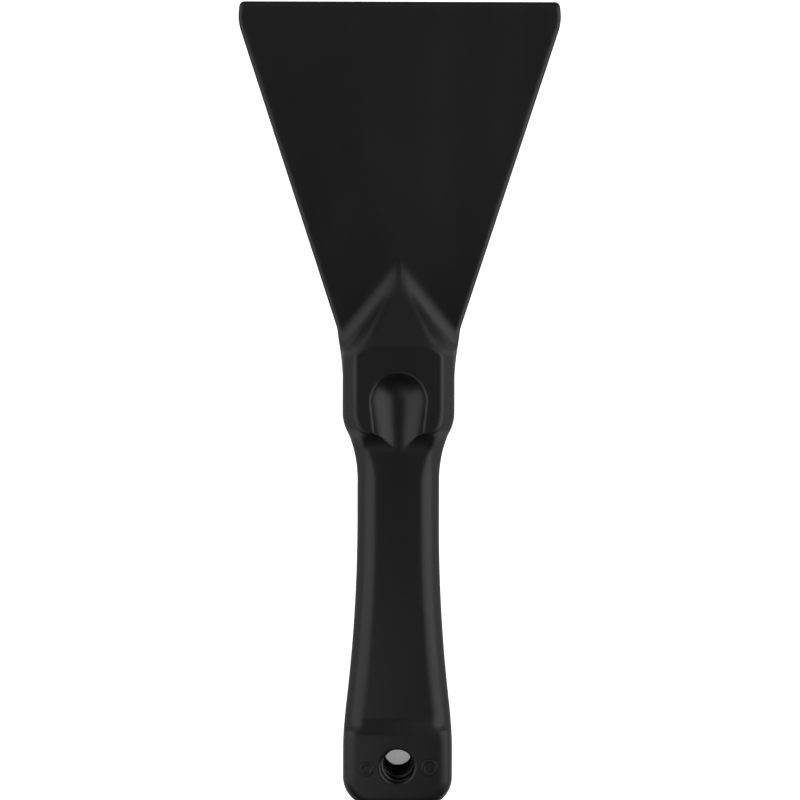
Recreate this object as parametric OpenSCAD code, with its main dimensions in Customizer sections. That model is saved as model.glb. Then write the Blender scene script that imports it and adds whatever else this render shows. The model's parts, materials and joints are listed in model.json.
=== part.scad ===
// Hand-held floor scraper, a single injection moulding in black polypropylene.
// It lies on its back: X runs across the blade, +Y points to the scraping edge, +Z is the front.
// The origin is under the middle of the tool, on the surface that it lies on.
// All heights below are measured from the parting plane, which halves the blade.

/* [Whole tool] */
// Length from the scraping edge to the end of the handle
tool_l = 252; // [240:1:270]

/* [Blade] */
// Width of the blade across its side lands
blade_w = 102; // [90:1:120]
// Distance from the scraping edge to the top of the neck block's front face
blade_l = 109.8; // [100:0.1:115]
// Distance from the scraping edge to where the sides start to taper
land_l = 8; // [6:0.5:14]
// How much narrower than the side lands each side is at the scraping edge
edge_draw = 0.9; // [0.4:0.1:1.2]
// Radius of the two corners at the scraping edge
corner_r = 1.8; // [1:0.1:3]
// Thickness of the scraping edge
edge_t = 0.9; // [0.5:0.1:1.5]
// Thickness of the blade just behind the bevel
tip_t = 2.2; // [1.8:0.1:3.5]
// Thickness of the blade where it meets the neck block
root_t = 4.6; // [4:0.1:7]
// Length of the bevel at the scraping edge
bevel_l = 1.8; // [1.2:0.1:4]
// Width of the narrow chamfer along the blade's sides
side_chamfer = 0.9; // [0.4:0.1:1.5]

/* [Gusset] */
// Distance from the block's face up the blade to the gusset's apex
gusset_l = 25.4; // [18:0.1:32]
// Width of the gusset's flat ramp where it meets the block's face
ramp_w = 21.8; // [16:0.1:25]
// Length of the clipped corners at the top of the block's face
clip_l = 2.5; // [1:0.1:4]

/* [Neck block] */
// Width of the block
block_w = 34.7; // [32:0.1:40]
// Height of the block's front face above the parting plane
block_front = 13.5; // [12:0.1:16]
// Depth of the block's back below the parting plane
block_back = 11; // [10:0.1:13]
// Length of the block's front face
face_l = 26.6; // [24:0.1:30]
// Length of the hollow slope from the block's face down to the grip
step_l = 6.2; // [5:0.1:7]
// Share of that drop that falls steeply, right at the end of the block's face
step_wall = 0.38; // [0:0.01:0.6]

/* [Finger rest] */
// Distance from the top of the block's face to the middle of the rest's round end
rest_from_top = 16.7; // [15:0.1:18]
// Radius of the rest's round end
rest_r = 11; // [9:0.1:13]
// Radius of the rest where it runs out at the grip
rest_end_r = 8.4; // [7:0.1:9]
// Length over which the rest's radius shrinks
rest_l = 11; // [9:0.1:13]
// Height of the rest's level floor above the grip's front
rest_lift = 0.05; // [0.03:0.01:0.5]

/* [Grip] */
// Width of the grip at its waist
waist_w = 25.6; // [24:0.1:30]
// Height of the grip's front above the parting plane
grip_front = 9.2; // [8:0.1:10]
// Depth of the grip's back below the parting plane
grip_back = 9; // [8:0.1:10]
// Radius of the hollow sides below the block
neck_r = 38; // [30:1:45]
// Distance from the middle of the tool to the end of the hollow sides
neck_end = 25; // [24:0.5:28]
// Distance from the middle of the tool to where the sides start to widen
flare_from = 38; // [32:1:44]
// Radius of the widening sides
flare_r = 485; // [420:5:560]
// Width of the edge chamfers along the body
chamfer_w = 3.9; // [3:0.1:4.2]
// Height of the edge chamfers along the body
chamfer_h = 4.2; // [3:0.1:5]

/* [End pad] */
// Width of the pad at the end of the handle
pad_w = 34; // [32:0.1:36]
// Height of the pad's front above the parting plane
pad_front = 11; // [10:0.1:12]
// Length of the pad's full thickness
pad_l = 23; // [21:0.5:26]
// Length of the slope from the grip up to the pad
pad_step_l = 4; // [2:0.5:8]
// Radius of the pad's two corners
pad_corner_r = 8.75; // [7:0.25:10]
// Radius of the rim round the end of the pad
rim_r = 2; // [1:0.25:3]
// Width of the small chamfer along the pad's edges, where the large one has died out
pad_edge = 1.2; // [0.5:0.1:2]

/* [End hole] */
// Bore of the hole in the pad at the roots of its thread
hole_d = 10.2; // [9:0.1:10.6]
// Distance from the end of the handle to the hole's axis
hole_from_end = 13.1; // [12:0.1:15]
// Diameter of the countersinks on both faces
sink_d = 11.2; // [10.8:0.1:12.5]

/* [Hidden] */
$fn = 96;
eps = 0.01;
tip_y = tool_l / 2;
end_y = -tool_l / 2;
face_top_y = tip_y - blade_l;
face_end_y = face_top_y - face_l;
taper_y = tip_y - land_l;
pad_y = end_y + pad_l;
hole_y = end_y + hole_from_end;
rest_y = face_top_y - rest_from_top;
wall_l = 0.8; // length of the steep part of the step
blade_buried = 8; // length of blade inside the block
foot_rise = 1; // how far up the blade the gusset's feet reach past the face
arc_steps = 8; // pieces in each rounded corner
curve_step = 4; // spacing of the sections along the grip

function mix(a, b, t) = a + (b - a) * min(1, max(0, t));
function soft(t) = let (c = min(1, max(0, t))) c * c * (3 - 2 * c);
// A corner of radius r: how far in the edge is at distance s from the flat end
function inset(r, s) = s >= r ? 0 : r - sqrt(r * r - (r - s) * (r - s));

// Blade: half width and half thickness at y
function blade_half(y) =
    let (taper = (blade_w - block_w) / 2 / (taper_y - face_top_y))
    y > taper_y
        ? blade_w / 2 - edge_draw * pow((y - taper_y - land_l * 0.35) / (land_l * 0.65), 2)
            - inset(corner_r, tip_y - y)
        : blade_w / 2 - edge_draw * 0.3 - (taper_y - y) * taper;
function blade_thick(y) =
    y > tip_y - bevel_l
        ? mix(tip_t, edge_t, (y - tip_y + bevel_l) / bevel_l) / 2
        : mix(tip_t, root_t, (tip_y - bevel_l - y) / (blade_l - bevel_l)) / 2;
blade_rows = concat(
    [for (i = [0:4]) tip_y - corner_r * (1 - cos(90 * i / 4))],
    [for (s = [bevel_l + 1:1.2:land_l]) tip_y - s],
    [taper_y - 1, face_top_y, face_top_y - blade_buried]);
function blade_ring(y) =
    let (w = y < face_top_y ? block_w / 2 - 1 : blade_half(y), t = blade_thick(y))
    [[w - side_chamfer, y, t], [w, y, t / 2], [w, y, -t / 2], [w - side_chamfer, y, -t],
     [side_chamfer - w, y, -t], [-w, y, -t / 2], [-w, y, t / 2], [side_chamfer - w, y, t]];

// Body: half width, front height and back depth at y
function body_half(y) =
    y > -neck_end
        ? min(block_w / 2, waist_w / 2 + neck_r - sqrt(pow(neck_r, 2) - pow(min(y + neck_end, neck_r), 2)))
        : y > -flare_from
            ? waist_w / 2
            : min(pad_w / 2, waist_w / 2 + pow(y + flare_from, 2) / (2 * flare_r))
                - inset(pad_corner_r, y - end_y);
// How much of the block's extra height is left at distance s below the end of its face
function step_at(s) =
    step_wall * max(0, 1 - s / wall_l) + (1 - step_wall) * pow(max(0, 1 - s / step_l), 2);
function body_front(y) =
    y >= face_end_y
        ? block_front
        : y > face_end_y - step_l
            ? mix(grip_front, block_front, step_at(face_end_y - y))
            : mix(pad_front, grip_front, (y - pad_y) / pad_step_l) - inset(rim_r, y - end_y);
function body_back(y) =
    y >= face_end_y
        ? block_back
        : y > face_end_y - step_l
            ? mix(grip_back, block_back, step_at(face_end_y - y))
            : mix(block_back, grip_back, (y - pad_y) / pad_step_l) - inset(rim_r, y - end_y);
shoulder_y = sqrt(pow(neck_r, 2) - pow(neck_r - (block_w - waist_w) / 2, 2)) - neck_end;
body_rows = concat(
    [face_top_y - clip_l, shoulder_y, face_end_y],
    [face_end_y - wall_l],
    [for (i = [1:6]) face_end_y - wall_l - (step_l - wall_l) * i / 6],
    [for (y = [-18:-curve_step / 2:-neck_end]) y],
    [for (y = [-flare_from:-curve_step:pad_y + pad_step_l + 1]) y],
    [pad_y + pad_step_l, pad_y, end_y + pad_corner_r],
    [for (i = [1:arc_steps]) end_y + pad_corner_r * (1 - sin(85 * i / arc_steps))],
    [end_y]);
// The large chamfer shrinks to the small one on the slope up to the pad
function edge_at(y, size) = mix(pad_edge, size, (y - pad_y) / pad_step_l);
function body_ring(y) =
    let (w = body_half(y), f = body_front(y), b = body_back(y),
         c = edge_at(y, chamfer_w), h = edge_at(y, chamfer_h))
    [[w - c, y, f], [w, y, f - h], [w, y, h - b], [w - c, y, -b],
     [c - w, y, -b], [-w, y, h - b], [-w, y, f - h], [c - w, y, f]];

// A solid through a row of eight-cornered rings, from the tip towards the handle
module loft(rings) {
    n = 8;
    last = len(rings) - 1;
    ends = [[for (k = [n - 1:-1:0]) k], [for (k = [0:n - 1]) last * n + k]];
    sides = [for (i = [0:last - 1]) for (k = [0:n - 1])
        let (a = i * n + k, b = i * n + (k + 1) % n) [a, b, b + n, a + n]];
    polyhedron([for (ring = rings) for (p = ring) p], concat(ends, sides), convexity = 4);
}

// Gusset: a three-sided ramp from the top of the block's face down to the blade, with the
// clipped corners of the face on either side of it
module gusset(height) {
    apex_y = face_top_y + gusset_l;
    back_y = face_top_y - clip_l;
    foot_y = face_top_y + foot_rise;
    half = block_w / 2;
    function right_points(s) = [
        [s * ramp_w / 2, face_top_y, height],
        [s * (half - chamfer_w), back_y, height],
        [s * half, back_y, height - chamfer_h],
        [s * half, back_y, 0],
        [s * half, foot_y, blade_thick(foot_y)],
        [s * half, foot_y, 0]];
    points = concat([[0, apex_y, blade_thick(apex_y)], [0, apex_y, 0]], right_points(1), right_points(-1));
    // Corner numbers: 0 and 1 are the apex, 2 to 7 the right side, 8 to 13 the left side
    side = [[0, 2, 6], [2, 4, 6], [2, 3, 4], [7, 6, 4, 5], [1, 0, 6, 7]];
    middle = [[0, 8, 2], [2, 8, 9, 3], [11, 5, 4, 3, 9, 10], [1, 7, 5, 11, 13]];
    function across(i) = i < 2 ? i : i < 8 ? i + 6 : i - 6;
    function turned(face) = [for (i = [len(face) - 1:-1:0]) face[i]];
    polyhedron(points, concat(
        [for (face = side) turned(face)],
        [for (face = side) [for (i = face) across(i)]],
        [for (face = middle) turned(face)]), convexity = 2);
}

module body() {
    rings = [for (y = body_rows) body_ring(y)];
    loft(rings);
}

module blade() {
    loft([for (y = blade_rows) blade_ring(y)]);
}

// A shallow channel for the index finger. Its upper end is part of a ball, and below that it is a
// cone that leans so that its lowest line stays level, and runs out flush on the grip.
module finger_rest() {
    run = sqrt(pow(rest_l, 2) + pow(rest_r - rest_end_r, 2));
    lean = asin((rest_r - rest_end_r) / run);
    past = 1.5; // how far the cone runs on, as a share of its length
    translate([0, rest_y, grip_front + rest_lift + rest_r]) {
        sphere(r = rest_r);
        rotate([90 + lean, 0, 0])
            translate([0, 0, rest_r * sin(lean)])
                cylinder(r1 = rest_r * cos(lean),
                         r2 = rest_r / cos(lean) - run * past * tan(lean),
                         h = run * past - rest_r * sin(lean));
    }
}

module end_hole() {
    sink = (sink_d - hole_d) / 2;
    translate([0, hole_y, -block_back - 1]) cylinder(d = hole_d, h = block_back + pad_front + 2);
    translate([0, hole_y, pad_front - sink]) cylinder(d1 = hole_d, d2 = sink_d + 2 * eps, h = sink + eps);
    translate([0, hole_y, -block_back - eps]) cylinder(d1 = sink_d + 2 * eps, d2 = hole_d, h = sink + eps);
}

module scraper() {
    color("#1c1c1d")
    translate([0, 0, block_back])
    difference() {
        union() {
            blade();
            body();
            gusset(block_front);
            mirror([0, 0, 1]) gusset(block_back);
        }
        finger_rest();
        end_hole();
    }
}

scraper();
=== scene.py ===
# %% [markdown]
# # A moulded floor scraper
#
# This script dresses one tool for its portrait: a black plastic floor scraper with a wide flat
# blade, a chamfered grip, a rest for the index finger and a threaded hole in its end. The design
# model gives the size and the place of everything. This lesson adds what an injection mould
# leaves on the real thing: soft fillets, rounded rims, coarse threads and a satin skin.

# %% Load the frame
import json
import math

import bpy
import numpy as np
from mathutils import Matrix, Vector


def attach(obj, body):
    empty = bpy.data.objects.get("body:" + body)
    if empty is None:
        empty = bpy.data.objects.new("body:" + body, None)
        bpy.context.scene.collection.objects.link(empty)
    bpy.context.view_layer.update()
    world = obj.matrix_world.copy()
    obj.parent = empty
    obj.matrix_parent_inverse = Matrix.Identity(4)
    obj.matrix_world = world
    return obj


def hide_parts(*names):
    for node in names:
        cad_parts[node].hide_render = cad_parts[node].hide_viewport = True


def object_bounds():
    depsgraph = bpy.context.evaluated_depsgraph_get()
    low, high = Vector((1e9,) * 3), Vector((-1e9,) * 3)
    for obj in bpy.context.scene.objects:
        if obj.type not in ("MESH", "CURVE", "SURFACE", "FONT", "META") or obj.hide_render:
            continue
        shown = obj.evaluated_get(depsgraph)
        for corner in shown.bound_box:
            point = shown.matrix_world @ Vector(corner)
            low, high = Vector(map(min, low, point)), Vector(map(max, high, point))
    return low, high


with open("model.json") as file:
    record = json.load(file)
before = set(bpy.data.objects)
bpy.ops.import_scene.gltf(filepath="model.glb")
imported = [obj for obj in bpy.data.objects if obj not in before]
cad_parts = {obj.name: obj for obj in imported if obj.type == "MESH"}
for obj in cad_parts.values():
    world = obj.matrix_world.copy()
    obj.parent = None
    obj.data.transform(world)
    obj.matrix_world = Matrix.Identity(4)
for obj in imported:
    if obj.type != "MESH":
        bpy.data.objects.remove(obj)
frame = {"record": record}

cad_low, cad_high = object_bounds()
print("design box in mm:", [round(1000 * (b - a), 1) for a, b in zip(cad_low, cad_high)])

# %% [markdown]
# ## The sizes that drive the shape
#
# The outer sizes and the end hole come from the frame, so they can't drift away from the design.
# The rest are the shape rules of the moulding, in millimetres. Heights count from the parting
# plane, which is where the two halves of the mould meet and which halves the blade.

# %% Read the driving sizes
MM = 0.001
mounts = {m["name"]: m for m in frame["record"]["mounts"]}
HOLE_POINT = [v / MM for v in mounts["end_hole"]["pos_m"]]
HOLE_R = mounts["end_hole"]["dims"]["r_mm"]

BLOCK_BACK = 11.0  # the rest plane lies this far below the parting plane
BLOCK_FRONT = cad_high.z / MM - BLOCK_BACK
TIP_Y = cad_high.y / MM
END_Y = cad_low.y / MM
BLADE_HALF = cad_high.x / MM
FACE_TOP = TIP_Y - 109.8  # top of the block's face
FACE_END = FACE_TOP - 26.6  # where the face drops to the grip
print("parting plane", BLOCK_BACK, "mm up; face from", round(FACE_TOP, 1), "to", round(FACE_END, 1))

# %% [markdown]
# ## A solid as a rule
#
# A moulding has no edges in the modelling sense: every corner is a small radius and every joint
# is a fillet. Beveling a boxy mesh gets there slowly and breaks where fillets cross. Instead the
# tool is written as one rule that says how deep any point lies inside the plastic. Flat faces are
# simple sums, and two faces meet through a *smooth minimum*, whose width is the radius of the
# edge. A smooth maximum does the same for the hollow fillets where the gusset runs into the blade.

# %% Blend helpers
def smooth_min(a, b, width):
    """The lower of two depths, rounded over where they nearly agree."""
    share = np.maximum(width - np.abs(a - b), 0) / width
    return np.minimum(a, b) - share * share * width / 4


def smooth_max(a, b, width):
    return -smooth_min(-a, -b, width)


def ease(value, start, end):
    """0 before start, 1 after end and an S-curve between them."""
    t = np.clip((value - start) / (end - start), 0, 1)
    return t * t * (3 - 2 * t)


def plane_through(a, b, c):
    """Depth below the plane through three points, whose outside is up."""
    a, b, c = Vector(a), Vector(b), Vector(c)
    n = (b - a).cross(c - a).normalized()
    n = n if n.z > 0 else -n
    return lambda x, y, z: n.dot(a) - (n.x * x + n.y * y + n.z * z)


print("two faces 5 mm deep, blended over 1 mm:", float(smooth_min(5.0, 5.0, 1.0)), "mm")

# %% [markdown]
# ## The outline
#
# Seen from the front the body has four stretches: the block's straight sides, a hollow arc into
# the waist, a very large arc that flares to the pad, and the pad's rounded end. Each is an exact
# distance to a line or an arc, so the rim radius stays even all the way round.

# %% Outline of the body
HALF_BLOCK, HALF_WAIST, HALF_PAD = 17.35, 12.8, 17.0
NECK_R, NECK_END = 38.0, -25.0
FLARE_R, FLARE_FROM = 485.0, -38.0
PAD_CORNER = 8.75
SHOULDER_BLEND, PAD_BLEND = 1.5, 1.0


def side_depth(ax, y):
    neck = np.hypot(HALF_WAIST + NECK_R - ax, np.maximum(y - NECK_END, 0)) - NECK_R
    flare = np.hypot(HALF_WAIST + FLARE_R - ax, np.maximum(FLARE_FROM - y, 0)) - FLARE_R
    corner_x = np.maximum(ax - (HALF_PAD - PAD_CORNER), 0)
    corner_y = np.maximum(END_Y + PAD_CORNER - y, 0)
    pad = PAD_CORNER - np.hypot(corner_x, corner_y)
    upper = smooth_min(neck, HALF_BLOCK - ax, SHOULDER_BLEND)
    lower = smooth_min(flare, pad, PAD_BLEND)
    return np.where(y > (NECK_END + FLARE_FROM) / 2, upper, lower)


print("half widths of block, waist and pad:", HALF_BLOCK, HALF_WAIST, HALF_PAD)

# %% [markdown]
# ## The side profile
#
# From the side the body steps down from the block to the grip in a hollow curve, runs level, and
# rises again to the pad. The profile is written once as a curve of height against length, then
# softened a little, and its slope turns height differences into true distances.

# %% Profile of the front and the back
GRIP_FRONT, GRIP_BACK, PAD_FRONT = 9.2, 9.0, 11.0
STEP_L, STEP_WALL, WALL_L = 6.2, 0.38, 0.8
PAD_TOP, PAD_STEP = END_Y + 23.0, 4.0
STATION_STEP, PAST_ENDS = 0.05, 5
station_count = round((TIP_Y - END_Y + 2 * PAST_ENDS) / STATION_STEP) + 1
stations = np.linspace(END_Y - PAST_ENDS, TIP_Y + PAST_ENDS, station_count)


def softened(profile, samples):
    """The profile with its corners eased by a sliding weighted mean over so many stations."""
    kernel = np.hanning(samples)
    return np.convolve(np.pad(profile, samples // 2, mode="edge"), kernel / kernel.sum(), "valid")


def body_profile(block, grip, pad):
    below = FACE_END - stations
    steep = STEP_WALL * np.clip(1 - below / WALL_L, 0, 1)
    drop = steep + (1 - STEP_WALL) * np.clip(1 - below / STEP_L, 0, 1) ** 2
    rise = np.clip((stations - PAD_TOP) / PAD_STEP, 0, 1)
    upper, lower = grip + (block - grip) * drop, pad + (grip - pad) * rise
    return softened(np.where(stations > FACE_END - STEP_L, upper, lower), 25)


front_profile = body_profile(BLOCK_FRONT, GRIP_FRONT, PAD_FRONT)
back_profile = body_profile(BLOCK_BACK, GRIP_BACK, BLOCK_BACK)
# The chamfers pass the step in one slow sweep
front_sweep, back_sweep = softened(front_profile, 121), softened(back_profile, 121)


def profile_depth(profile, y, z):
    slope = np.interp(y, stations, np.gradient(profile, stations))
    return (np.interp(y, stations, profile) - z) / np.sqrt(1 + slope * slope)


print("front heights, block, grip, pad:", BLOCK_FRONT, GRIP_FRONT, PAD_FRONT)

# %% [markdown]
# ## The blade and its gusset
#
# The blade is a thin wedge with a short bevel at its working edge. A three-sided ramp carries it
# into the block on both faces. The ramp is three planes through named corners, plus the clipped
# corners at the top of the block's face, and it meets the blade in a broad fillet.

# %% Blade and gusset
TAPER_Y = TIP_Y - 8.0  # where the straight taper ends and the edge's short land begins
TAPER_INSET, LAND_CURVE, TIP_STAND, ROOT_SINK = 0.3, 0.012, 0.2, 8
EDGE_HALF, TIP_HALF, ROOT_HALF, BEVEL_L = 0.45, 1.1, 2.3, 1.8
GUSSET_L, RAMP_HALF, CLIP_L, FOOT_RISE = 22.8, 10.9, 2.5, 1.0  # the fillet adds to the length
CHAMFER_W, CHAMFER_H = 3.9, 4.2
blade_taper = (BLADE_HALF - TAPER_INSET - HALF_BLOCK) / (TAPER_Y - FACE_TOP)


def blade_thick(y):
    return TIP_HALF + (ROOT_HALF - TIP_HALF) * (TIP_Y - BEVEL_L - y) / (TIP_Y - BEVEL_L - FACE_TOP)


def blade_depth(ax, y, az):
    flat = blade_thick(y) - az
    bevel_slope = (TIP_HALF - EDGE_HALF) / BEVEL_L
    bevel = (EDGE_HALF + bevel_slope * (TIP_Y - y) - az) / math.hypot(1, bevel_slope)
    taper = (BLADE_HALF - TAPER_INSET - blade_taper * (TAPER_Y - y) - ax) / math.hypot(1, blade_taper)
    land = BLADE_HALF - LAND_CURVE * np.maximum(y - TAPER_Y - 2, 0) ** 2 - ax
    side = smooth_min(smooth_min(taper, land, 0.8), TIP_Y + TIP_STAND - y, 1.6)
    skin = smooth_min(flat, bevel, 0.2)
    return smooth_min(smooth_min(skin, side, 1.3), y - (FACE_TOP - ROOT_SINK), 1)


def gusset_planes(height):
    apex_y, foot_y, clip_y = FACE_TOP + GUSSET_L, FACE_TOP + FOOT_RISE, FACE_TOP - CLIP_L
    apex = (0, apex_y, blade_thick(apex_y))
    ramp_corner = (RAMP_HALF, FACE_TOP, height)
    face_corner = (HALF_BLOCK - CHAMFER_W, clip_y, height)
    side_corner = (HALF_BLOCK, clip_y, height - CHAMFER_H)
    foot = (HALF_BLOCK, foot_y, blade_thick(foot_y))
    return {
        "ramp": plane_through(apex, ramp_corner, (-RAMP_HALF, FACE_TOP, height)),
        "flank": plane_through(apex, ramp_corner, foot),
        "clip": plane_through(ramp_corner, face_corner, side_corner),
        "cheek": plane_through(ramp_corner, side_corner, foot),
    }


front_planes = gusset_planes(BLOCK_FRONT)
back_planes = gusset_planes(BLOCK_BACK)
print("blade", 2 * TIP_HALF, "mm thick behind its bevel and", 2 * ROOT_HALF, "at its root")

# %% [markdown]
# ## The body's faces, chamfers and rims
#
# The long edges have flat chamfers on the block and the grip. At the pad they give way to a
# plain rounded rim, so the chamfer's size depends on the place along the tool.

# %% Body
RIM = 4.6  # on the pad
CROWN = 0.4  # how much the grip's faces fall towards their edges
PAD_CHAMFER = 0.5
CROWN_FROM, CROWN_FULL = 12, 26  # how far below the middle the crown begins and is complete


def body_side(ax, y, z, side, profile, sweep, planes):
    """Depth under one face of the body, front or back, with its chamfer and its gusset."""
    on_grip = ease(-y, CROWN_FROM, CROWN_FULL)
    face = profile_depth(profile, y, z) - CROWN * on_grip * (ax / HALF_WAIST) ** 2
    on_pad = ease(-y, -(PAD_TOP + PAD_STEP * 0.6), -(PAD_TOP - 0.6))
    width = CHAMFER_W + (PAD_CHAMFER - CHAMFER_W) * on_pad
    height = CHAMFER_H + (PAD_CHAMFER - CHAMFER_H) * on_pad
    under = profile_depth(sweep, y, z)
    chamfer = (side * height + under * width - width * height) / np.hypot(width, height)
    rim = smooth_min(face, side, RIM)
    edge = smooth_min(smooth_min(face, chamfer, 0.7 + 1.4 * on_grip), side, 0.9)
    edge = edge + (np.minimum(rim, edge) - edge) * on_pad
    clip = smooth_min(planes["clip"](ax, y, z), planes["cheek"](ax, y, z), 0.5)
    corner = smooth_max(clip, planes["flank"](ax, y, z), 0.6)
    ramp = smooth_min(planes["ramp"](ax, y, z), corner, 1.8)
    return smooth_min(edge, ramp, 0.45)


def body_depth(x, y, z):
    ax = np.abs(x)
    side = side_depth(ax, y)
    front = body_side(ax, y, z, side, front_profile, front_sweep, front_planes)
    back = body_side(ax, y, -z, side, back_profile, back_sweep, back_planes)
    return np.minimum(front, back)


print("rim radius on the pad:", RIM, "crown of the grip:", CROWN)

# %% [markdown]
# ## The hollows
#
# Two hollows are taken away. One is the rest for the index finger: a shallow channel, part of a
# ball at its upper end and a leaning cone below, whose lowest line stays level and runs out flush
# on the grip. The other is the hole through the pad with its countersinks. Taking away with a
# smooth minimum rounds their lips, as a polished mould does.

# %% Finger rest and end hole
REST_Y, REST_R, REST_END_R, REST_L, REST_LIFT = FACE_TOP - 16.7, 11.0, 8.4, 11.0, 0.05
REST_LEAN = math.atan2(REST_R - REST_END_R, REST_L)
SINK_R, SINK_ACROSS, SINK_DOWN = 5.4, 0.9, 0.44  # the countersink's rim and its wall's direction
LIP_REST, LIP_HOLE, BLADE_FILLET = 0.12, 0.35, 4.4


def hollows_depth(x, y, z):
    dy, dz = y - REST_Y, z - (GRIP_FRONT + REST_LIFT + REST_R)
    sin, cos = math.sin(REST_LEAN), math.cos(REST_LEAN)
    along = -dy * cos - dz * sin
    across = np.hypot(x, dz * cos - dy * sin)
    on_ball = along * cos < across * sin
    rest = REST_R - np.where(on_ball, np.hypot(along, across), along * sin + across * cos)
    from_hole = np.hypot(x, y - HOLE_POINT[1])
    hole = HOLE_R - from_hole
    front_sink = (SINK_R - from_hole) * SINK_ACROSS + (z - PAD_FRONT) * SINK_DOWN
    back_sink = (SINK_R - from_hole) * SINK_ACROSS - (z + BLOCK_BACK) * SINK_DOWN
    through = np.maximum(hole, np.maximum(front_sink, back_sink))
    return rest, through


def moulding_depth(x, y, z):
    """How deep a point lies inside the moulding, in millimetres, and below 0 outside it."""
    solid = smooth_max(body_depth(x, y, z), blade_depth(np.abs(x), y, np.abs(z)), BLADE_FILLET)
    rest, through = hollows_depth(x, y, z)
    solid = smooth_min(solid, -rest, LIP_REST)
    return smooth_min(solid, -through, LIP_HOLE)


print("finger rest, radius at its upper and lower end:", REST_R, REST_END_R, "lean", round(REST_LEAN, 3))

# %% [markdown]
# ## From rule to mesh
#
# To turn the rule into faces, it is sampled on a box of grid points. Every grid cell that the
# surface crosses gets one vertex, and every grid edge that it crosses gets one four-sided face
# between the cells round it. This is known as surface nets. The vertices are then slid along the
# rule's own slope until they sit on the surface, which takes the steps out of the grid.

# %% Surface nets
def sample(rule, xs, ys, zs):
    grid = np.empty((len(xs), len(ys), len(zs)))
    for start in range(0, len(ys), 32):
        x, y, z = np.meshgrid(xs, ys[start : start + 32], zs, indexing="ij")
        grid[:, start : start + 32] = rule(x, y, z)
    return grid


def slope_of(rule, points, step=0.02):
    columns = []
    for axis in range(3):
        shift = np.zeros(3)
        shift[axis] = step
        columns.append((rule(*(points + shift).T) - rule(*(points - shift).T)) / (2 * step))
    return np.stack(columns, axis=1)


def surface_nets(rule, xs, ys, zs, slides=4):
    """Vertices in mm and four-sided faces of the surface where the rule is 0."""
    grid = sample(rule, xs, ys, zs)
    inside = grid > 0
    cells = np.array(grid.shape)
    cell_id = lambda ijk: (ijk[:, 0] * cells[1] + ijk[:, 1]) * cells[2] + ijk[:, 2]
    crossings, quads = [], []
    for axis in range(3):
        low = [slice(None)] * 3
        high = [slice(None)] * 3
        low[axis], high[axis] = slice(None, -1), slice(1, None)
        a, b = grid[tuple(low)], grid[tuple(high)]
        ijk = np.argwhere(inside[tuple(low)] != inside[tuple(high)])
        va, vb = a[tuple(ijk.T)], b[tuple(ijk.T)]
        place = np.stack([np.asarray(s, float)[ijk[:, n]] for n, s in enumerate((xs, ys, zs))], axis=1)
        span = np.asarray((xs, ys, zs)[axis], float)
        place[:, axis] += (span[ijk[:, axis] + 1] - span[ijk[:, axis]]) * va / (va - vb)
        u, v = [np.eye(3, dtype=int)[(axis + n) % 3] for n in (1, 2)]
        corners = np.stack([cell_id(ijk - s) for s in (0 * u, u, u + v, v)], axis=1)
        corners[va < vb] = corners[va < vb][:, ::-1]
        quads.append(corners)
        crossings.append(place)
    quads, crossings = np.concatenate(quads), np.concatenate(crossings)
    ids, index = np.unique(quads.ravel(), return_inverse=True)
    index = index.reshape(quads.shape)
    count = np.bincount(index.ravel())
    points = np.stack(
        [np.bincount(index.ravel(), np.repeat(crossings[:, n], 4)) / count for n in range(3)], axis=1
    )
    for _ in range(slides):
        slope = slope_of(rule, points)
        depth = rule(*points.T)
        push = depth / np.maximum((slope**2).sum(1), 0.25)
        points -= slope * np.clip(push, -0.3, 0.3)[:, None]
    return points, index


def runs(*stretches):
    """Grid lines: each stretch is its start, its end and its spacing."""
    lines = []
    for start, end, step in stretches:
        lines.extend(np.linspace(start, end, max(2, round((end - start) / step) + 1))[:-1])
    return np.array(lines + [stretches[-1][1]])


COARSE = 1.0
BODY_HALF, MARGIN = 19, 1.2  # fine spacing across the body, and room left beside the blade
grid_x = runs(
    (-BLADE_HALF - MARGIN, -BODY_HALF, 0.7 * COARSE),
    (-BODY_HALF, BODY_HALF, 0.5 * COARSE),
    (BODY_HALF, BLADE_HALF + MARGIN, 0.7 * COARSE),
)
grid_y = runs(
    (END_Y - 1, END_Y + 26, 0.48 * COARSE),
    (END_Y + 26, -20, 0.9 * COARSE),
    (-20, 44, 0.48 * COARSE),
    (44, TIP_Y - 9, 1.3 * COARSE),
    (TIP_Y - 9, TIP_Y - 3, 0.6),
    (TIP_Y - 3, TIP_Y + 0.6, 0.3),
)
grid_z = runs((-BLOCK_BACK - 1, -3, 0.5), (-3, 3, 0.37), (3, BLOCK_FRONT + 1, 0.5))
points, quads = surface_nets(moulding_depth, grid_x, grid_y, grid_z)
print("grid", len(grid_x), len(grid_y), len(grid_z), "gives", len(points), "points,", len(quads), "faces")

# %% [markdown]
# ## The moulding's mesh
#
# The points are lifted so that the tool rests on the floor plane, turned to metres and stored as
# one smooth mesh, whose object stays at the origin.

# %% Build the moulding's mesh
def mesh_piece(name, points_mm, faces):
    """An object at the origin whose mesh holds its place, in metres, up from the rest plane."""
    mesh = bpy.data.meshes.new(name)
    lifted = (np.asarray(points_mm) + (0, 0, BLOCK_BACK)) * MM
    mesh.vertices.add(len(lifted))
    mesh.vertices.foreach_set("co", lifted.ravel())
    faces = np.asarray(faces)
    mesh.loops.add(faces.size)
    mesh.loops.foreach_set("vertex_index", faces.ravel().astype(np.int32))
    mesh.polygons.add(len(faces))
    mesh.polygons.foreach_set("loop_start", np.arange(0, faces.size, faces.shape[1], dtype=np.int32))
    mesh.update(calc_edges=True)
    mesh.validate()
    mesh.shade_smooth()
    piece = bpy.data.objects.new(name, mesh)
    bpy.context.scene.collection.objects.link(piece)
    return piece


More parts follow.
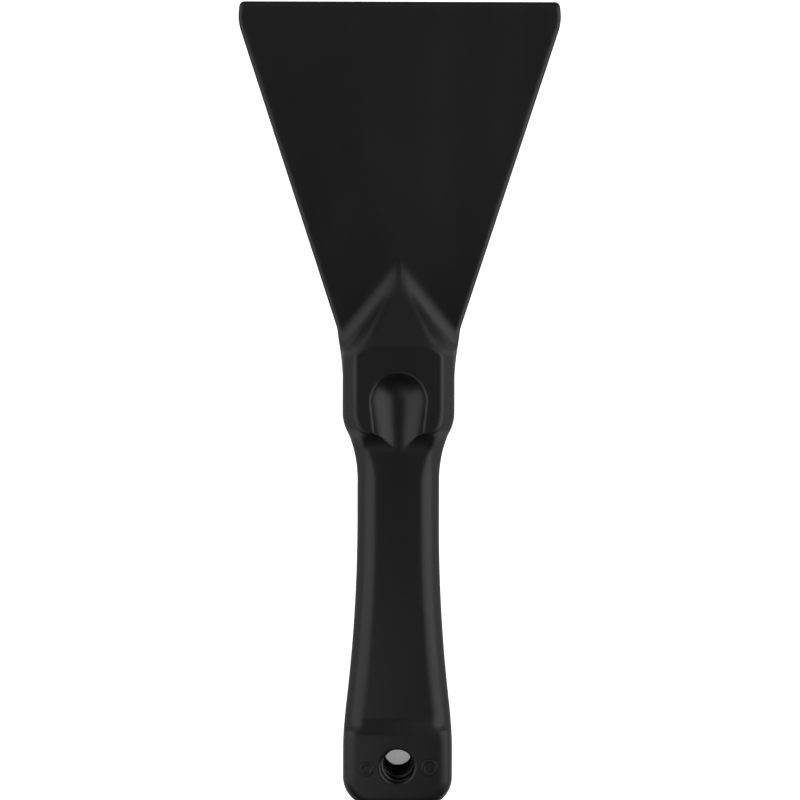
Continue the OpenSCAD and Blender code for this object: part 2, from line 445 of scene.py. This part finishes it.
scraper = mesh_piece("scraper_moulding", points, quads)
print("moulding box in mm:", [round(v / MM, 1) for v in scraper.dimensions])

# %% [markdown]
# ## Two helpers
#
# Shader and Geometry Nodes trees are both made of nodes and links, so one small function serves
# both. Colours are given as sRGB hex values, and a shader wants linear numbers, so every
# colour goes through the other function.

# %% Colour and node helpers
def linear(hex_colour):
    """A colour given as an sRGB hex value, as the linear numbers that a shader wants."""
    channels = [int(hex_colour[n : n + 2], 16) / 255 for n in (1, 3, 5)]
    return [c / 12.92 if c <= 0.04045 else ((c + 0.055) / 1.055) ** 2.4 for c in channels] + [1.0]


def add_node(tree, kind, links=(), **settings):
    """A node with its settings; each link is (input name or number, the socket that feeds it)."""
    made = tree.nodes.new(kind)
    for name, value in settings.items():
        if name in made.inputs:
            made.inputs[name].default_value = value
        else:
            setattr(made, name, value)
    for name, source in links:
        tree.links.new(source, made.inputs[name])
    return made


print("linear value of #808080:", round(linear("#808080")[0], 4))

# %% [markdown]
# ## A satin black plastic
#
# The tool is polypropylene coloured with carbon black, shot into a steel mould. The mould's
# spark-eroded walls leave a fine grain, so highlights are broad and soft. Gloss drifts slowly
# along the way the melt flowed, which is lengthwise. The two halves of the mould leave a thin
# witness line round the sides. The real grain is about 0.2 mm wide; it is drawn at 0.6 mm, since
# anything finer would vanish at this distance.

# %% Plastic material
PER_MM = 1000.0  # patterns repeat this often in a metre if they are 1 mm wide


def black_polypropylene():
    material = bpy.data.materials.new("moulded_black_polypropylene")
    material.use_nodes = True
    tree = material.node_tree
    shader = tree.nodes["Principled BSDF"]
    shader.inputs["IOR"].default_value = 1.49
    place = add_node(tree, "ShaderNodeTexCoord").outputs["Object"]

    # Melt flow: patches about 30 mm wide, three times as long, that shift the gloss and the tone
    along = add_node(tree, "ShaderNodeMapping", [("Vector", place)], Scale=(1, 0.33, 1))
    flow = add_node(
        tree, "ShaderNodeTexNoise", [("Vector", along.outputs[0])],
        Scale=PER_MM / 30, Detail=3.0, Roughness=0.5
    )
    gloss = add_node(
        tree, "ShaderNodeMapRange", [("Value", flow.outputs[0])],
        **{"From Min": 0.3, "From Max": 0.7, "To Min": 0.33, "To Max": 0.41}
    )
    tone = add_node(tree, "ShaderNodeMix", [("Factor", flow.outputs[0])], data_type="RGBA")
    tone.inputs[6].default_value, tone.inputs[7].default_value = linear("#0d0d0e"), linear("#121213")

    # Spark-eroded grain, a few thousandths of a millimetre deep
    grain = add_node(
        tree, "ShaderNodeTexNoise", [("Vector", place)], Scale=PER_MM / 0.6, Detail=2.0, Roughness=0.6
    )
    grain_bump = add_node(
        tree, "ShaderNodeBump", [("Height", grain.outputs[0])], Strength=1.0, Distance=0.000004
    )

    # Witness line of the parting plane, on walls that face sideways
    height = add_node(tree, "ShaderNodeSeparateXYZ", [(0, place)]).outputs["Z"]
    from_plane = add_node(tree, "ShaderNodeMath", [(0, height)], operation="SUBTRACT")
    from_plane.inputs[1].default_value = BLOCK_BACK * MM
    distance = add_node(tree, "ShaderNodeMath", [(0, from_plane.outputs[0])], operation="ABSOLUTE")
    line = add_node(
        tree, "ShaderNodeMapRange", [("Value", distance.outputs[0])],
        interpolation_type="SMOOTHSTEP",
        **{"From Min": 0.0001, "From Max": 0.0003, "To Min": 1.0, "To Max": 0.0}
    )
    line_bump = add_node(
        tree, "ShaderNodeBump", [("Height", line.outputs[0]), ("Normal", grain_bump.outputs[0])],
        Strength=1.0, Distance=0.00008
    )
    tree.links.new(tone.outputs[2], shader.inputs["Base Color"])
    tree.links.new(gloss.outputs[0], shader.inputs["Roughness"])
    tree.links.new(line_bump.outputs[0], shader.inputs["Normal"])
    return material


plastic = black_polypropylene()
scraper.data.materials.append(plastic)
print("material", plastic.name, "with", len(plastic.node_tree.nodes), "nodes")

# %% [markdown]
# ## The thread
#
# The end hole carries a coarse moulded thread: a rounded ridge that winds along a plain wall. A
# mould core leaves it as it is unscrewed. The ridge follows a path, so it is made with Geometry
# Nodes: a helix along the wall's own radius, a trapezoid with rounded corners swept along it with
# its foot sunk in the wall, and a scale that lets the ridge run out over the last third of a turn
# at either end. The tree takes its sizes as named inputs.

# %% Thread tree
RUN_OUT = 0.33  # of a turn


def thread_tree(material):
    tree = bpy.data.node_groups.new("thread_turns", "GeometryNodeTree")
    for name in ("Root radius", "Height", "Foot width", "Pitch", "Turns"):
        tree.interface.new_socket(name, in_out="INPUT", socket_type="NodeSocketFloat")
    tree.interface.new_socket("Geometry", in_out="OUTPUT", socket_type="NodeSocketGeometry")
    given = add_node(tree, "NodeGroupInput").outputs
    rise = add_node(tree, "ShaderNodeMath", [(0, given["Pitch"]), (1, given["Turns"])], operation="MULTIPLY")
    helix = add_node(
        tree, "GeometryNodeCurveSpiral",
        [("Rotations", given["Turns"]), ("Start Radius", given["Root radius"]),
         ("End Radius", given["Root radius"]), ("Height", rise.outputs[0])],
        Resolution=72, Reverse=True,  # reversed, it winds as a right-handed thread does
    )
    upright = add_node(tree, "GeometryNodeSetCurveNormal", [("Curve", helix.outputs[0])], mode="Z_UP")

    # The profile's foot reaches a quarter of its height into the wall
    tall = add_node(tree, "ShaderNodeMath", [(0, given["Height"])], operation="MULTIPLY")
    tall.inputs[1].default_value = 1.25
    crest = add_node(tree, "ShaderNodeMath", [(0, given["Foot width"])], operation="MULTIPLY")
    crest.inputs[1].default_value = 0.4
    trapezoid = add_node(
        tree, "GeometryNodeCurvePrimitiveQuadrilateral",
        [("Bottom Width", given["Foot width"]), ("Top Width", crest.outputs[0]), ("Height", tall.outputs[0])],
        mode="TRAPEZOID", Offset=0.0,
    )
    corner = add_node(tree, "ShaderNodeMath", [(0, given["Height"])], operation="MULTIPLY")
    corner.inputs[1].default_value = 0.3
    rounded = add_node(
        tree, "GeometryNodeFilletCurve", [("Curve", trapezoid.outputs[0]), ("Radius", corner.outputs[0])],
        mode="POLY", Count=3, **{"Limit Radius": True}
    )
    sunk = add_node(tree, "ShaderNodeMath", [(0, given["Height"])], operation="MULTIPLY")
    sunk.inputs[1].default_value = 0.25 - 1.25 / 2
    offset = add_node(tree, "ShaderNodeCombineXYZ", [(0, sunk.outputs[0])])
    profile = add_node(
        tree, "GeometryNodeTransform", [("Geometry", rounded.outputs[0]), ("Translation", offset.outputs[0])],
        Rotation=(0, 0, math.pi / 2),
    )

    # Turns to the nearer end, for the run-out
    share = add_node(tree, "GeometryNodeSplineParameter").outputs["Factor"]
    nearer = add_node(tree, "ShaderNodeMath", [(0, share)], operation="PINGPONG")
    nearer.inputs[1].default_value = 0.5
    turns_left = add_node(
        tree, "ShaderNodeMath", [(0, nearer.outputs[0]), (1, given["Turns"])], operation="MULTIPLY"
    )
    scale = add_node(
        tree, "ShaderNodeMapRange", [("Value", turns_left.outputs[0])],
        **{"From Min": 0.0, "From Max": RUN_OUT, "To Min": 0.05, "To Max": 1.0}
    )
    ridge = add_node(
        tree, "GeometryNodeCurveToMesh",
        [("Curve", upright.outputs[0]), ("Profile Curve", profile.outputs[0]), ("Scale", scale.outputs[0])],
        **{"Fill Caps": True}
    )
    smooth = add_node(tree, "GeometryNodeSetShadeSmooth", [("Geometry", ridge.outputs[0])])
    real = add_node(tree, "GeometryNodeRealizeInstances", [("Geometry", smooth.outputs[0])])
    painted = add_node(tree, "GeometryNodeSetMaterial", [("Geometry", real.outputs[0])], Material=material)
    add_node(tree, "NodeGroupOutput", [("Geometry", painted.outputs[0])])
    return tree


threads = thread_tree(plastic)
print("thread tree inputs:", [item.name for item in threads.interface.items_tree if item.in_out == "INPUT"])

# %% [markdown]
# ## Winding the thread into the hole
#
# The thread is baked to a plain mesh and moved into place. It has five turns to the inch, a usual
# coarse pitch, and stops short of both countersinks.

# %% Bake the thread
PITCH = 25.4 / 5


def wind(name, start_mm, phase, **sizes):
    """A thread ridge as an object at the origin; it starts at start_mm and winds upwards."""
    carrier = bpy.data.objects.new(name + "_carrier", bpy.data.meshes.new(name + "_carrier"))
    bpy.context.scene.collection.objects.link(carrier)
    modifier = carrier.modifiers.new("turns", "NODES")
    modifier.node_group = threads
    for item in threads.interface.items_tree:
        if item.in_out == "INPUT":
            modifier[item.identifier] = float(sizes[item.name.lower().replace(" ", "_")])
    carrier.update_tag()
    graph = bpy.context.evaluated_depsgraph_get()
    mesh = bpy.data.meshes.new_from_object(carrier.evaluated_get(graph))
    carrier.modifiers.remove(modifier)
    bpy.data.objects.remove(carrier)
    turn = Matrix.Rotation(math.radians(phase), 4, "Z")
    mesh.transform(Matrix.Translation(Vector(start_mm) * MM) @ turn)
    mesh.name = name
    ridge = bpy.data.objects.new(name, mesh)
    bpy.context.scene.collection.objects.link(ridge)
    return ridge


hole_start = Vector((0, HOLE_POINT[1], 1.0))
hole_thread = wind(
    "end_hole_thread", hole_start, 30,
    root_radius=HOLE_R * MM, height=0.78 * MM, foot_width=2.6 * MM, pitch=PITCH * MM, turns=3.8,
)
reach = [math.hypot(v.co.x, v.co.y - hole_start.y * MM) / MM for v in hole_thread.data.vertices]
print("thread", len(reach), "vertices, radius", round(min(reach), 2), "to", round(max(reach), 2), "mm")

# %% [markdown]
# ## Ejector-pin rings
#
# Two pins push the cooled tool out of the mould and leave shallow rings on the pad, one on either
# side of the hole. Each is a thin round-topped ring, half sunk in the face, built as a small
# circle carried round a larger one.

# %% Pin rings
PIN_MARKS = ((-9.5, -0.8, 1.7), (9.9, -0.2, 2.1))  # across, along from the hole, radius
PIN_WIDE, PIN_PROUD, PIN_SUNK = 0.55, 0.11, 0.02


def pin_ring(name, x, y, radius, around=72, section=12):
    turns, tilts = np.arange(around) * math.tau / around, np.arange(section) * math.tau / section
    turn, tilt = np.meshgrid(turns, tilts, indexing="ij")
    reach = radius + PIN_WIDE * np.cos(tilt)
    height = PAD_FRONT - PIN_SUNK + PIN_PROUD * np.sin(tilt)
    ring = np.stack([x + reach * np.cos(turn), y + reach * np.sin(turn), height], axis=-1).reshape(-1, 3)
    i, j = np.meshgrid(np.arange(around), np.arange(section), indexing="ij")
    nexti, nextj = (i + 1) % around, (j + 1) % section
    corners = ((i, j), (nexti, j), (nexti, nextj), (i, nextj))
    faces = np.stack([a * section + b for a, b in corners], axis=-1)
    return mesh_piece(name, ring, faces.reshape(-1, 4))


pin_rings = [
    pin_ring(name, x, HOLE_POINT[1] + y, radius)
    for name, (x, y, radius) in zip(("pin_ring_left", "pin_ring_right"), PIN_MARKS)
]
for ring in pin_rings:
    ring.data.materials.append(plastic)
print("pin rings:", [ring.name for ring in pin_rings])

# %% [markdown]
# ## Tying the pieces to the frame
#
# Nothing on this tool moves, so every piece rides the root body. The moulding stands for the
# design's one node; the thread's ridge and the pin rings are detail on it, in the same material.

# %% Tie the pieces
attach(scraper, "root")
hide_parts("scraper")
for detail in (hole_thread, *pin_rings):
    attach(detail, "root")
print("tied", 2 + len(pin_rings), "pieces to the root body")

# %% [markdown]
# ## The table
#
# The tool lies on a white acrylic table, as in a product studio. The table glows by itself, so the
# background is clean white and the lamps' shadows are washed out. Only the camera sees it at full
# strength: light that first bounces off the tool meets a much dimmer table, or the walls of the
# hole would be lit from below. An ambient occlusion node measures how much sky each spot of the
# table sees. It dims the bottom of the hole, where that is next to none, and leaves a faint soft
# shadow close under the blade and the grip, which shows from the side.

# %% Table
FLOOR = 3.0
FLOOR_Z = -0.00005  # a hair under the tool, so their faces don't share a plane
SHADE = 0.17  # what is left of the glow where hardly any sky is in view
floor_mesh = bpy.data.meshes.new("floor")
floor_mesh.from_pydata(
    [(x, y, FLOOR_Z) for x, y in ((-FLOOR, -FLOOR), (FLOOR, -FLOOR), (FLOOR, FLOOR), (-FLOOR, FLOOR))],
    [], [(0, 1, 2, 3)],
)
floor = bpy.data.objects.new("floor", floor_mesh)
bpy.context.scene.collection.objects.link(floor)
table = bpy.data.materials.new("white_acrylic_table")
table.use_nodes = True
table_shader = table.node_tree.nodes["Principled BSDF"]
table_shader.inputs["Base Color"].default_value = linear("#f4f4f4")
table_shader.inputs["Roughness"].default_value = 0.6
table_shader.inputs["Emission Color"].default_value = linear("#ffffff")
seen = add_node(table.node_tree, "ShaderNodeLightPath").outputs["Is Camera Ray"]
open_sky = add_node(table.node_tree, "ShaderNodeAmbientOcclusion", samples=8, Distance=0.03).outputs["AO"]
shaded = add_node(
    table.node_tree, "ShaderNodeMapRange", [("Value", open_sky)],
    **{"From Min": 0.05, "From Max": 0.3, "To Min": SHADE, "To Max": 1.0}
)
glow = add_node(
    table.node_tree, "ShaderNodeMapRange", [("Value", seen), ("To Max", shaded.outputs[0])],
    **{"To Min": 0.01}
)
table.node_tree.links.new(glow.outputs[0], table_shader.inputs["Emission Strength"])
floor_mesh.materials.append(table)
print("table", 2 * FLOOR, "m wide")

# %% [markdown]
# ## The lights
#
# Two tall softbox walls stand on either side, so faces that tilt to the left or the right catch a
# broad, even highlight while level faces stay near black. The right one is a little stronger. A
# dim one above the handle, more to the left, lifts the grip and the pad a little over the blade,
# and another beyond the scraping edge lifts the faces that lean that way. Nothing low stands at
# the handle's end, so steep steps that face it go dark.

# %% Lights
def area_light(name, place, size, power, target):
    data = bpy.data.lights.new(name, "AREA")
    data.shape = "RECTANGLE"
    data.size, data.size_y = size
    data.energy = power
    light = bpy.data.objects.new(name, data)
    light.location = place
    light.rotation_euler = (Vector(target) - Vector(place)).to_track_quat("-Z", "Y").to_euler()
    bpy.context.scene.collection.objects.link(light)
    return light


area_light("left_softbox", (-0.5, 0.17, 0.64), (1.04, 1.12), 4.2, (0, 0.17, 0.64))
area_light("right_softbox", (0.5, 0.17, 0.64), (1.04, 1.12), 5.6, (0, 0.17, 0.64))
area_light("edge_softbox", (0, 0.7, 0.55), (1.2, 0.5), 0.55, (0, 0, 0.02))
area_light("handle_softbox", (-0.3, -0.47, 0.8), (0.6, 0.6), 0.68, (-0.3, -0.47, 0))
world = bpy.data.worlds.new("studio")
bpy.context.scene.world = world
world.use_nodes = True
world.node_tree.nodes["Background"].inputs["Color"].default_value = linear("#ffffff")
world.node_tree.nodes["Background"].inputs["Strength"].default_value = 0.03
bpy.context.scene.view_settings.view_transform = "Standard"

# %% [markdown]
# ## The camera
#
# It looks straight down from about arm's length, so the far wall of the end hole shows through the
# hole. The tool fills the view's height, and lies very slightly askew in it.

# %% Camera
CAMERA_UP = 0.420  # above the parting plane
VIEW_WIDE = 0.2528  # width of the view at the parting plane
AIM_X, ASKEW = 0.00045, 0.17  # metres to the right, and degrees
camera_data = bpy.data.cameras.new("camera")
camera_data.lens = camera_data.sensor_width * CAMERA_UP / VIEW_WIDE
camera = bpy.data.objects.new("camera", camera_data)
camera.location = (AIM_X, 0, BLOCK_BACK * MM + CAMERA_UP)
camera.rotation_euler = (0, 0, math.radians(ASKEW))
bpy.context.scene.collection.objects.link(camera)
bpy.context.scene.camera = camera
print("lens", round(camera_data.lens, 1), "mm")
